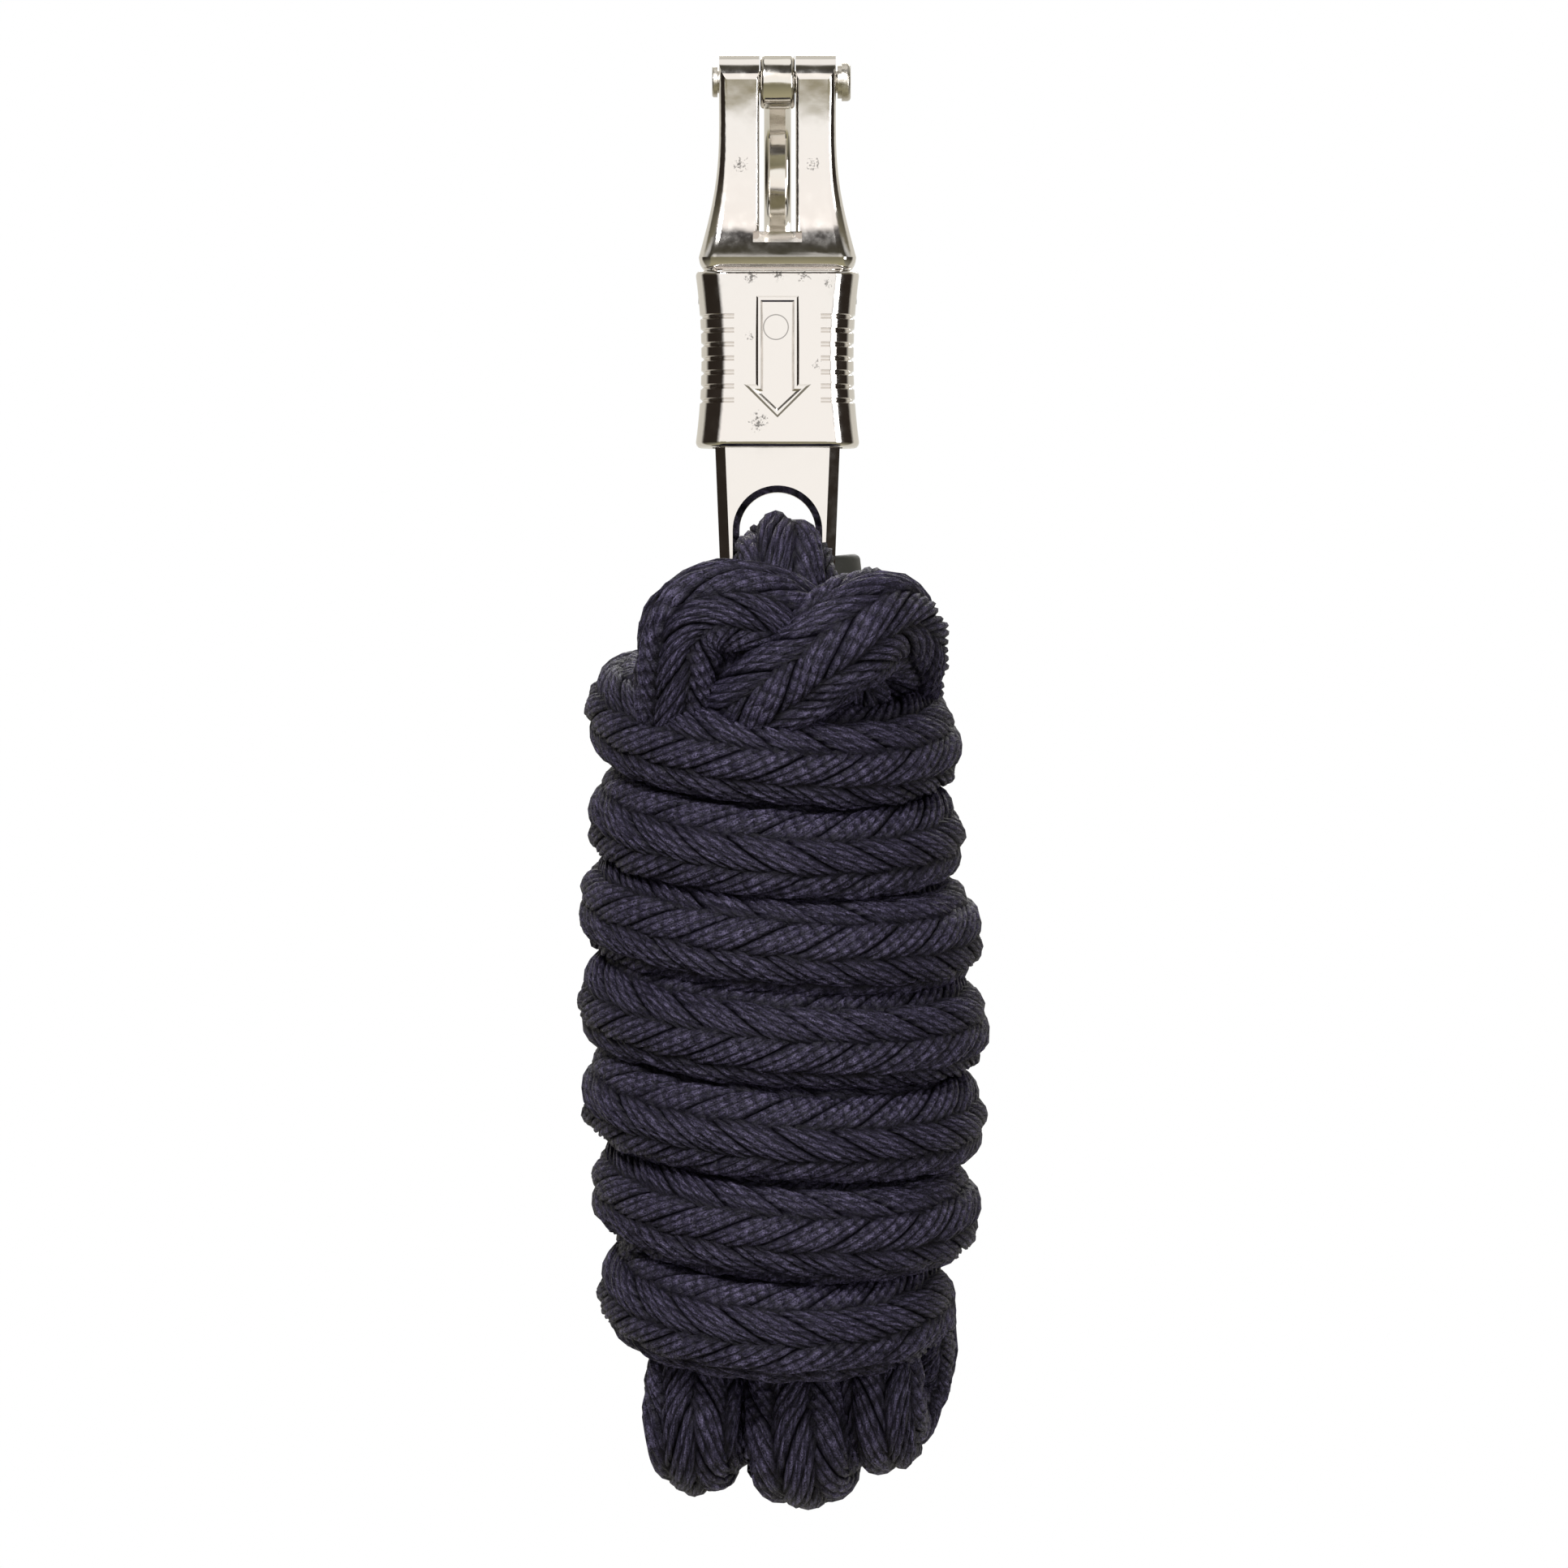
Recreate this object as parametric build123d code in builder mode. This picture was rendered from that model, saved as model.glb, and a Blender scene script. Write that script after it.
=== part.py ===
"""Lead rope with a panic snap: a nickel-plated quick-release hook on a braided rope tied up in a hank.

The snap hangs from its hook.  +Z is up, the snap's flat face looks along -Y, and the origin is the
middle of the hook's throat, where a ring or a rail sits.  All sizes are in millimetres.
"""
from math import pi, radians, sin, tan
from build123d import *
import os

os.makedirs("parts", exist_ok=True)

# ---------------------------------------------------------------- driving dimensions
MID_Y = -9.5              # the snap's mid plane lies this far in front of the throat's middle

PIN_Z = 17.8              # hinge rivet's axis
PIN_R = 2.2
FORK_TOP_R = 5.3          # the prongs roll over around the rivet
FORK_BASE_Z = -16.2
FORK_LIP = 2.3            # the base's rim tucks in over this height
FORK_LIP_IN = 1.2
FORK_HALF_W = 11.3
FORK_BASE_HALF_W = 15.1
FORK_BASE_HALF_D = 8.4
FORK_HALF_D = 4.6
FORK_BLANK = 60.0         # longer than the whole fork
# (height, half width, half depth, corner radius) of the fork's sections
FORK_BASE_ROUND = 3.4
FORK_SECTIONS = (
    (FORK_BASE_Z, FORK_BASE_HALF_W, FORK_BASE_HALF_D, FORK_BASE_ROUND),
    (-12.0, 14.0, 6.3, 3.0),
    (-4.5, 12.3, 4.9, 2.4),
    (4.5, FORK_HALF_W, FORK_HALF_D - 0.2, 1.9),
    (12.0, FORK_HALF_W - 0.1, 4.7, 1.7),
    (18.0, FORK_HALF_W - 0.1, FORK_TOP_R, 1.5),
    (24.0, FORK_HALF_W - 0.1, FORK_TOP_R + 0.1, 1.5),
)
SLOT_HALF_W = 3.5
SLOT_FLOOR_Z = -11.2
SLOT_EDGE_ROUND = 0.7
WEB_HALF_W = 4.7
WEB_TOP_Y = -4.6          # where the web's slope meets the slot's floor, before the mid plane
WEB_SLOPE_HEIGHT = 4.4    # the web at the slot's foot slopes down to the front over this height

NECK_HALF_W = 12.6
NECK_HALF_D = 6.8
NECK_HEIGHT = 1.5
NECK_LOW_Z = FORK_BASE_Z - FORK_LIP - NECK_HEIGHT
STEM_HALF_W = 12.2
STEM_HALF_D = 5.0
STEM_ROUND = 2.2
SHANK_HALF_D = 4.0
SHANK_TIP_HALF_W = 11.0
SHANK_ROUND_Z = -76.0
SHANK_BEVEL = 1.2
SHANK_BEVEL_ANGLE = 58.0
EYE_BEVEL = 1.3
EYE_TOP_Z = -61.2
EYE_HALF_W = 7.3
EYE_LOW_Z = -84.1
SNAP_LOW_Z = -89.4
SLEEVE_TOP_Z = -18.7
SLEEVE_LOW_Z = -52.6
SLEEVE_TRAVEL = 8.0
RUNNING_GAP = 0.3

CROSS_PIN_Z = -23.4
CROSS_PIN_R = 1.6
SPRING_LOW_Z = -48.0
SPRING_R = 2.4            # to the wire's middle
SPRING_WIRE_R = 0.45
SPRING_TURNS = 8
POCKET_HALF_W = 3.4

HOOK_W = 5.2
BOSS_W = 6.6
BOSS_ROUND = 0.9
HOOK_EDGE_ROUND = 1.1
THROAT_DEPTH = 14.0       # from the fork's back to the inside of the bow
TONGUE_TOP_Z = -12.6
TONGUE_LOW_Z = -21.9
TONGUE_IN = 2.9           # the tongue's faces, behind the mid plane
TONGUE_OUT = 6.8

ROPE_R = 10.0             # the free rope
LOOP_R = 6.8              # the rope squeezed through the eye
LOOP_HALF_D = 12.0        # its two legs, before and behind the mid plane
LOOP_TOP_Z = -75.5
FERRULE_TOP_Z = -107.0
FERRULE_LOW_Z = -116.0
FERRULE_WALL = 1.2
FERRULE_LEG_Y = 7.3

HANK_TOP_Z = -97.5
HANK_HALF_D = 35.0
WRAP_HEIGHT = 20.4
WRAP_ROUND = 9.2
TAIL_R = 8.3
CAP_R = 9.2
CAP_LENGTH = 13.0
CAP_TOP_Z = -73.4
CAP_X = 6.8
CAP_BACK = 28.6           # the cap's axis behind the mid plane
CAP_LEAN = 6.5            # degrees, towards -X going up

SIDE = Plane(origin=(0, MID_Y, 0), x_dir=(0, 1, 0), z_dir=(1, 0, 0))     # local x = depth, y = height
FRONT = Plane(origin=(0, MID_Y, 0), x_dir=(1, 0, 0), z_dir=(0, -1, 0))   # local x = width, y = height


def level(z, x=0.0):
    """A horizontal plane at height z, centred on the snap."""
    return Plane(origin=(x, MID_Y, z))


def save(part, name):
    """Label a finished piece and write its STEP file."""
    part.label = name
    export_step(part, f"parts/{name}.step")
    return part


def corner_radii(points):
    """The arc at each corner of a cord's route: 0.45 of its shorter run over tan(half the turn)."""
    radii = []
    for before, corner, after in zip(points, points[1:], points[2:]):
        incoming = Vector(corner) - Vector(before)
        outgoing = Vector(after) - Vector(corner)
        turn = radians(incoming.get_angle(outgoing))
        radii.append(0.45 * min(incoming.length, outgoing.length) / tan(turn / 2))
    return radii


# ---------------------------------------------------------------- snap body: fork, neck, stem and eye
def shank():
    """The flat bar below the sleeve, bevelled all round, with the eye that the rope goes through."""
    with BuildPart(mode=Mode.PRIVATE) as bar:
        for side in (1, -1):
            with BuildSketch(FRONT) as outline:
                with BuildLine():
                    flank = Line((STEM_HALF_W, SLEEVE_LOW_Z + 6), (SHANK_TIP_HALF_W, SHANK_ROUND_Z))
                    foot_middle = (0.72 * SHANK_TIP_HALF_W, SNAP_LOW_Z + 4.3)
                    foot = ThreePointArc(flank @ 1, foot_middle, (0, SNAP_LOW_Z))
                    Polyline(foot @ 1, (0, SLEEVE_LOW_Z + 6), flank @ 0)
                make_face()
                mirror(about=Plane.YZ)
            extrude(amount=side * (SHANK_HALF_D - SHANK_BEVEL))
            with BuildSketch(FRONT.offset(side * (SHANK_HALF_D - SHANK_BEVEL))):
                add(outline.sketch_local)
            extrude(amount=side * SHANK_BEVEL, taper=SHANK_BEVEL_ANGLE)
        eye_z = (EYE_TOP_Z + EYE_LOW_Z) / 2
        eye_height = EYE_TOP_Z - EYE_LOW_Z
        with BuildSketch(FRONT):
            with Locations((0, eye_z)):
                SlotOverall(eye_height, 2 * EYE_HALF_W, rotation=90)
        extrude(amount=SHANK_HALF_D + 1, both=True, mode=Mode.SUBTRACT)
        for side in (1, -1):
            with BuildSketch(FRONT.offset(side * (SHANK_HALF_D - EYE_BEVEL))):
                with Locations((0, eye_z)):
                    SlotOverall(eye_height, 2 * EYE_HALF_W, rotation=90)
            extrude(amount=side * (EYE_BEVEL + 0.5), taper=-45, mode=Mode.SUBTRACT)
    return bar.part


with BuildPart() as snap_body:
    for height, half_w, half_d, corner in FORK_SECTIONS:
        with BuildSketch(level(height)):
            RectangleRounded(2 * half_w, 2 * half_d, corner)
    loft()
    for drop, tuck in ((0, 0), (FORK_LIP / 2, FORK_LIP_IN / 4), (FORK_LIP, FORK_LIP_IN)):
        with BuildSketch(level(FORK_BASE_Z - drop)):
            RectangleRounded(2 * (FORK_BASE_HALF_W - tuck), 2 * (FORK_BASE_HALF_D - tuck), FORK_BASE_ROUND - tuck)
    loft()
    # the prongs' ends roll over around the rivet
    with BuildSketch(SIDE):
        with Locations((0, PIN_Z - FORK_BLANK / 2)):
            Rectangle(FORK_BLANK, FORK_BLANK)
        with Locations((0, PIN_Z)):
            Circle(FORK_TOP_R)
    extrude(amount=FORK_BASE_HALF_W + 2, both=True, mode=Mode.INTERSECT)
    # the slot between the prongs, with a sloped web at its foot
    with BuildSketch(FRONT):
        with BuildLine():
            Polyline((-SLOT_HALF_W, PIN_Z + 8), (-SLOT_HALF_W, SLOT_FLOOR_Z), (SLOT_HALF_W, SLOT_FLOOR_Z),
                     (SLOT_HALF_W, PIN_Z + 8), close=True)
        make_face()
    extrude(amount=FORK_BASE_HALF_D + 2, both=True, mode=Mode.SUBTRACT)
    prong_edges = snap_body.edges().filter_by(
        lambda e: abs(abs(e.center().X) - SLOT_HALF_W) < 0.01 and e.length > PIN_Z
    )
    fillet(prong_edges, SLOT_EDGE_ROUND)
    with BuildSketch(SIDE):
        with BuildLine():
            web_front = -FORK_BASE_HALF_D - 0.7
            Polyline((web_front, SLOT_FLOOR_Z - WEB_SLOPE_HEIGHT), (WEB_TOP_Y, SLOT_FLOOR_Z + 0.01),
                     (web_front, SLOT_FLOOR_Z + 0.01), close=True)
        make_face()
    extrude(amount=WEB_HALF_W, both=True, mode=Mode.SUBTRACT)
    with BuildSketch(SIDE):
        with Locations((0, PIN_Z)):
            Circle(PIN_R)
    extrude(amount=FORK_HALF_W + 2, both=True, mode=Mode.SUBTRACT)
    # the neck that the sleeve's mouth closes over
    with BuildSketch(level(FORK_BASE_Z - FORK_LIP)):
        RectangleRounded(2 * NECK_HALF_W, 2 * NECK_HALF_D, 3.0)
    extrude(amount=-NECK_HEIGHT)
    with BuildSketch(level(NECK_LOW_Z)):
        RectangleRounded(2 * STEM_HALF_W, 2 * STEM_HALF_D, STEM_ROUND)
    extrude(amount=SLEEVE_LOW_Z + 1.5 - NECK_LOW_Z)
    add(shank())
    # the cross pin's slot, the spring's pocket and the hook tongue's seat
    with BuildSketch(SIDE):
        slot_height = SLEEVE_TRAVEL + 2 * CROSS_PIN_R + 0.8
        with Locations((0, CROSS_PIN_Z + CROSS_PIN_R + 0.2 - slot_height / 2)):
            Rectangle(2 * CROSS_PIN_R + 0.6, slot_height)
    extrude(amount=STEM_HALF_W + 2, both=True, mode=Mode.SUBTRACT)
    with BuildSketch(FRONT):
        pocket_top = CROSS_PIN_Z + CROSS_PIN_R + 0.2
        with Locations((0, (pocket_top + SPRING_LOW_Z) / 2)):
            Rectangle(2 * POCKET_HALF_W, pocket_top - SPRING_LOW_Z)
    extrude(amount=STEM_HALF_D + 2, both=True, mode=Mode.SUBTRACT)
    with BuildSketch(SIDE):
        with BuildLine():
            Polyline((TONGUE_IN - 0.4, SLOT_FLOOR_Z + 1), (TONGUE_IN - 0.4, TONGUE_LOW_Z - 0.6),
                     (12.0, TONGUE_LOW_Z - 0.6), (12.0, SLOT_FLOOR_Z + 1), close=True)
        make_face()
    extrude(amount=HOOK_W / 2 + 0.5, both=True, mode=Mode.SUBTRACT)
save(snap_body.part, "snap_body")


# ---------------------------------------------------------------- hook
BOW_DEPTH = FORK_HALF_D + THROAT_DEPTH      # inside of the bow, behind the mid plane

with BuildPart() as hook_arm:
    with BuildSketch(SIDE):
        with BuildLine():
            outer = Spline(
                (1.5, PIN_Z + FORK_TOP_R - 0.3), (10.5, PIN_Z + 2.4), (BOW_DEPTH + 2.6, 8.5),
                (BOW_DEPTH + 4.2, -1.0), (BOW_DEPTH, -9.5), (TONGUE_OUT + 2.6, -13.8), (TONGUE_OUT, -17.6),
            )
            tongue_back = Line(outer @ 1, (TONGUE_OUT, TONGUE_LOW_Z + 0.8))
            tongue_tip = Polyline(tongue_back @ 1, (TONGUE_OUT - 0.9, TONGUE_LOW_Z),
                                  (TONGUE_IN + 0.5, TONGUE_LOW_Z), (TONGUE_IN, TONGUE_LOW_Z + 0.8))
            tongue_front = Line(tongue_tip @ 1, (TONGUE_IN, TONGUE_TOP_Z))
            inner = Spline(
                tongue_front @ 1, (FORK_HALF_D + 3.0, -10.6), (BOW_DEPTH - 4.4, -7.4), (BOW_DEPTH - 0.4, 0.0),
                (BOW_DEPTH - 2.6, 7.6), (FORK_HALF_D + 4.2, 11.6), (3.0, PIN_Z - 4.4),
            )
            Line(inner @ 1, outer @ 0)
        make_face()
    extrude(amount=HOOK_W / 2, both=True)
    long_edges = hook_arm.edges().filter_by(lambda e: e.length > 20)
    fillet(long_edges, HOOK_EDGE_ROUND)
    with BuildSketch(SIDE):
        with Locations((0, PIN_Z)):
            Circle(FORK_TOP_R)
    extrude(amount=BOSS_W / 2, both=True)
    fillet(hook_arm.edges().filter_by(GeomType.CIRCLE).sort_by(Axis.X)[0], BOSS_ROUND)
    fillet(hook_arm.edges().filter_by(GeomType.CIRCLE).sort_by(Axis.X)[-1], BOSS_ROUND)
    with BuildSketch(SIDE):
        with Locations((0, PIN_Z)):
            Circle(PIN_R + 0.05)
    extrude(amount=BOSS_W, both=True, mode=Mode.SUBTRACT)
save(hook_arm.part, "hook_arm")


# ---------------------------------------------------------------- hinge rivet and its washer
HEAD_R = 3.75
PEEN_R = 3.0               # the rivet's peened end, opposite its head
RIVET_GAP = 0.25           # the heads stand just off the prongs' flanks
RIVET_LEFT = -(FORK_HALF_W + RIVET_GAP + 1.0)
WASHER_X = FORK_HALF_W + RIVET_GAP + 0.8

with BuildPart() as hinge_rivet:
    with BuildSketch(Plane(origin=(RIVET_LEFT, MID_Y, PIN_Z), x_dir=(0, 1, 0), z_dir=(1, 0, 0))):
        Circle(PIN_R)
    extrude(amount=WASHER_X + 0.3 - RIVET_LEFT)
    with BuildSketch(Plane(origin=(RIVET_LEFT, MID_Y, PIN_Z), x_dir=(0, 1, 0), z_dir=(1, 0, 0))):
        Circle(PEEN_R)
    extrude(amount=1.0)
    with BuildSketch(Plane(origin=(WASHER_X, MID_Y, PIN_Z), x_dir=(0, 1, 0), z_dir=(1, 0, 0))):
        Circle(HEAD_R)
    extrude(amount=1.7)
    fillet(hinge_rivet.edges().filter_by(GeomType.CIRCLE).group_by(Axis.X)[-1], 0.7)
    fillet(hinge_rivet.edges().filter_by(GeomType.CIRCLE).group_by(Axis.X)[0], 0.4)
save(hinge_rivet.part, "hinge_rivet")

with BuildPart() as rivet_washer:
    with BuildSketch(Plane(origin=(FORK_HALF_W + RIVET_GAP, MID_Y, PIN_Z), x_dir=(0, 1, 0), z_dir=(1, 0, 0))):
        Circle(HEAD_R - 0.5)
        Circle(PIN_R, mode=Mode.SUBTRACT)
    extrude(amount=WASHER_X - FORK_HALF_W - RIVET_GAP)
save(rivet_washer.part, "rivet_washer")


# ---------------------------------------------------------------- release sleeve
# (height, half width, half depth, corner radius) of its outer sections
SLEEVE_WAIST_Z = -35.5
SLEEVE_END_HALF_W = 15.8
SLEEVE_WAIST_HALF_W = 14.6
SLEEVE_END_HALF_D = 9.35
SLEEVE_WAIST_HALF_D = 9.1
SLEEVE_ROUND = 6.2
SLEEVE_SECTIONS = (
    (SLEEVE_TOP_Z, SLEEVE_END_HALF_W, SLEEVE_END_HALF_D, SLEEVE_ROUND),
    (SLEEVE_WAIST_Z, SLEEVE_WAIST_HALF_W, SLEEVE_WAIST_HALF_D, SLEEVE_ROUND),
    (SLEEVE_LOW_Z, SLEEVE_END_HALF_W, SLEEVE_END_HALF_D, SLEEVE_ROUND),
)
GROOVE_PITCH = 2.68
GROOVE_COUNT = 7
GROOVE_TOP_Z = -27.6
GROOVE_INNER_X = 8.3
GROOVE_DEPTH = 0.5
GROOVE_HALF_HEIGHT = 0.5
GROOVE_BEVEL = 0.4
EJECTOR_X, EJECTOR_Z, EJECTOR_R = -0.3, -29.7, 2.5
EJECTOR_DEPTH = 0.25
ARROW_HALF_LINE = 0.75
ARROW_HEIGHT = 0.45
ARROW_ROOT = 0.05
ARROW_BEVEL_ANGLE = 45


def sleeve_half_size(z):
    """The sleeve's half width and half depth at a height, waisted as its loft is."""
    share = ((z - SLEEVE_WAIST_Z) / (SLEEVE_TOP_Z - SLEEVE_WAIST_Z)) ** 2
    half_w = SLEEVE_WAIST_HALF_W + (SLEEVE_END_HALF_W - SLEEVE_WAIST_HALF_W) * share
    half_d = SLEEVE_WAIST_HALF_D + (SLEEVE_END_HALF_D - SLEEVE_WAIST_HALF_D) * share
    return half_w, half_d


def groove_ring(z):
    """What one grip groove removes: a bevelled ring all round, cut away over the sleeve's faces."""
    half_w, half_d = sleeve_half_size(z)
    floor_w = half_w - GROOVE_DEPTH
    floor_d = half_d - GROOVE_DEPTH
    with BuildPart(mode=Mode.PRIVATE) as ring:
        with BuildSketch(level(z - GROOVE_HALF_HEIGHT)):
            RectangleRounded(2 * half_w + 4, 2 * half_d + 4, SLEEVE_ROUND + 1)
            RectangleRounded(2 * floor_w, 2 * floor_d, SLEEVE_ROUND - GROOVE_DEPTH, mode=Mode.SUBTRACT)
        extrude(amount=2 * GROOVE_HALF_HEIGHT)
        floor_edges = ring.edges().filter_by(
            lambda e: abs(e.center().X) < floor_w + 0.1 and abs(e.center().Y - MID_Y) < floor_d + 0.1
            and abs(abs(e.center().Z - z) - GROOVE_HALF_HEIGHT) < 0.01
        )
        chamfer(floor_edges, GROOVE_BEVEL)
        with BuildSketch(level(z - 2)):
            Rectangle(2 * GROOVE_INNER_X, 4 * SLEEVE_END_HALF_D)
        extrude(amount=4, mode=Mode.SUBTRACT)
    return ring.part


def arrow_outline(grow):
    """Half-width and height points of the raised arrow that says which way the sleeve is pulled."""
    shaft, head, top, shoulder, tip = 3.45, 5.0, -24.3, -41.3, -46.2
    head_miter, tip_miter = 2.2, 1.4
    half = [(0, top + grow), (shaft + grow, top + grow), (shaft + grow, shoulder + grow),
            (head + head_miter * grow, shoulder + grow), (0, tip - tip_miter * grow)]
    return half + [(-x, z) for x, z in reversed(half[1:-1])]


with BuildPart() as release_sleeve:
    for height, half_w, half_d, corner in SLEEVE_SECTIONS:
        with BuildSketch(level(height)):
            RectangleRounded(2 * half_w, 2 * half_d, corner)
    loft()
    rims = release_sleeve.edges().filter_by(
        lambda e: abs(e.center().Z - SLEEVE_TOP_Z) < 0.01 or abs(e.center().Z - SLEEVE_LOW_Z) < 0.01
    )
    fillet(rims, 1.0)
    for groove in range(GROOVE_COUNT):
        add(groove_ring(GROOVE_TOP_Z - groove * GROOVE_PITCH), mode=Mode.SUBTRACT)
    # the raised arrow, its line bevelled on both sides
    with BuildSketch(FRONT.offset(SLEEVE_WAIST_HALF_D - ARROW_ROOT)):
        with BuildLine():
            Polyline(*arrow_outline(ARROW_HALF_LINE), close=True)
        make_face()
        with BuildLine():
            Polyline(*arrow_outline(-ARROW_HALF_LINE), close=True)
        make_face(mode=Mode.SUBTRACT)
    extrude(amount=ARROW_ROOT + ARROW_HEIGHT, taper=ARROW_BEVEL_ANGLE)
    # the stem's passage and the wider mouth that closes over the neck and the hook's tongue
    with BuildSketch(level(SLEEVE_LOW_Z - 1)):
        RectangleRounded(2 * (STEM_HALF_W + RUNNING_GAP), 2 * (STEM_HALF_D + RUNNING_GAP), 2.4)
    extrude(amount=SLEEVE_TOP_Z - SLEEVE_LOW_Z + 3, mode=Mode.SUBTRACT)
    with BuildSketch(level(SLEEVE_TOP_Z - 4.4)):
        RectangleRounded(2 * (NECK_HALF_W + RUNNING_GAP), 2 * (NECK_HALF_D + RUNNING_GAP), 3.2)
    extrude(amount=8, mode=Mode.SUBTRACT)
    with BuildSketch(SIDE):
        with Locations((0, CROSS_PIN_Z)):
            Circle(CROSS_PIN_R)
    extrude(amount=30, both=True, mode=Mode.SUBTRACT)
    # mark left by the die's ejector
    with BuildSketch(FRONT.offset(SLEEVE_WAIST_HALF_D - EJECTOR_DEPTH)):
        with Locations((EJECTOR_X, EJECTOR_Z)):
            Circle(EJECTOR_R)
            Circle(EJECTOR_R - EJECTOR_DEPTH, mode=Mode.SUBTRACT)
    extrude(amount=2, mode=Mode.SUBTRACT)
save(release_sleeve.part, "release_sleeve")

with BuildPart() as sleeve_cross_pin:
    with BuildSketch(SIDE):
        with Locations((0, CROSS_PIN_Z)):
            Circle(CROSS_PIN_R)
    extrude(amount=SLEEVE_END_HALF_W - 0.6, both=True)
save(sleeve_cross_pin.part, "sleeve_cross_pin")

SPRING_TOP_Z = CROSS_PIN_Z - CROSS_PIN_R
with BuildPart() as sleeve_spring:
    spring_height = SPRING_TOP_Z - SPRING_LOW_Z - 2 * SPRING_WIRE_R - 0.1
    with BuildLine(Plane(origin=(0, MID_Y, SPRING_LOW_Z + SPRING_WIRE_R + 0.05))) as wire_path:
        Helix(pitch=spring_height / SPRING_TURNS, height=spring_height, radius=SPRING_R)
    with BuildSketch(Plane(origin=wire_path.line @ 0, z_dir=wire_path.line % 0)):
        Circle(SPRING_WIRE_R)
    sweep(is_frenet=True)
save(sleeve_spring.part, "sleeve_spring")


# ---------------------------------------------------------------- rope: the loop through the eye
LOOP_HALF_ROUTE = (
    (0, MID_Y + FERRULE_LEG_Y, FERRULE_LOW_Z),
    (0, MID_Y + FERRULE_LEG_Y, FERRULE_TOP_Z),
    (0, MID_Y + LOOP_HALF_D, HANK_TOP_Z),
    (0, MID_Y + LOOP_HALF_D, LOOP_TOP_Z),
)
LOOP_ROUTE = LOOP_HALF_ROUTE + tuple((x, 2 * MID_Y - y, z) for x, y, z in reversed(LOOP_HALF_ROUTE))
LOOP_RADII = corner_radii(LOOP_ROUTE)

with BuildPart() as rope_eye_loop:
    with BuildLine() as loop_line:
        FilletPolyline(*LOOP_ROUTE, radius=LOOP_RADII)
    with BuildSketch(Plane(origin=loop_line.line @ 0, z_dir=loop_line.line % 0)):
        Circle(LOOP_R)
    sweep()
save(rope_eye_loop.part, "rope_eye_loop")
loop_length = loop_line.wires()[0].length
print("eye loop radii", [round(r, 1) for r in LOOP_RADII], "length", round(loop_length, 1))
print("eye loop volume", round(rope_eye_loop.part.volume), "expected", round(pi * LOOP_R**2 * loop_length))

# ---------------------------------------------------------------- ferrule that closes the loop
FERRULE_HALF_D = FERRULE_LEG_Y + LOOP_R + 1.3
with BuildPart() as eye_ferrule:
    with BuildSketch(level(FERRULE_LOW_Z + 0.2)):
        SlotOverall(2 * (FERRULE_HALF_D + FERRULE_WALL), 2 * (LOOP_R + 0.1 + FERRULE_WALL), rotation=90)
    extrude(amount=FERRULE_TOP_Z - FERRULE_LOW_Z - 0.4)
    fillet(eye_ferrule.edges().group_by(Axis.Z)[-1], 0.5)
    fillet(eye_ferrule.edges().group_by(Axis.Z)[0], 0.5)
    with BuildSketch(level(FERRULE_LOW_Z)):
        SlotOverall(2 * FERRULE_HALF_D, 2 * (LOOP_R + 0.15), rotation=90)
    extrude(amount=FERRULE_TOP_Z - FERRULE_LOW_Z, mode=Mode.SUBTRACT)
save(eye_ferrule.part, "eye_ferrule")

# ---------------------------------------------------------------- tail and its end cap
CAP_AXIS = Plane(
    origin=(CAP_X, MID_Y + CAP_BACK, CAP_TOP_Z),
    x_dir=(0, 1, 0),
    z_dir=(-sin(radians(CAP_LEAN)), 0, sin(radians(90 - CAP_LEAN))),
)
CAP_END_WALL = 1.6
TAIL_LENGTH = 25.0

with BuildPart() as rope_end_cap:
    with BuildSketch(CAP_AXIS.offset(-CAP_LENGTH)):
        Circle(CAP_R)
    extrude(amount=CAP_LENGTH)
    fillet(rope_end_cap.edges().filter_by(GeomType.CIRCLE).sort_by(Axis.Z)[-1], 1.2)
    with BuildSketch(CAP_AXIS.offset(-CAP_LENGTH)):
        Circle(TAIL_R)
    extrude(amount=CAP_LENGTH - CAP_END_WALL, mode=Mode.SUBTRACT)
save(rope_end_cap.part, "rope_end_cap")

with BuildPart() as rope_tail:
    with BuildSketch(CAP_AXIS.offset(-CAP_END_WALL - TAIL_LENGTH)):
        Circle(TAIL_R)
    extrude(amount=TAIL_LENGTH)
save(rope_tail.part, "rope_tail")

# ---------------------------------------------------------------- hank
# (height, left x, right x) of the seven wraps, top to bottom, as loosely uneven as they were wound
WRAPS = (
    (-108.0, -36.8, 35.4),
    (-127.0, -36.6, 36.0),
    (-144.5, -38.4, 39.6),
    (-162.5, -38.6, 40.8),
    (-181.0, -38.0, 40.2),
    (-199.5, -36.0, 39.0),
    (-218.0, -34.6, 34.4),
)
# (x, half thickness, lowest z, radius) of the bights below the wraps, each a fold seen on edge
BIGHTS = (
    (-16.6, 9.8, -253.6, 21.0),
    (4.0, 11.3, -257.5, 22.0),
    (21.5, 9.0, -249.4, 20.0),
)
KNOT_Y = MID_Y - LOOP_HALF_D - LOOP_R - ROPE_R - 0.4     # the strands tied across the front
LOCKING_STRAND = ((22.0, -87.0), (10.0, -90.5), (-2.0, -95.0), (-9.0, -100.0))
FRONT_LOOP = (-8.6, -86.6, 17.0, 13.2)                   # x, z, half width and half height
POCKET_HALF_D = LOOP_HALF_D + LOOP_R + 0.3


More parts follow.
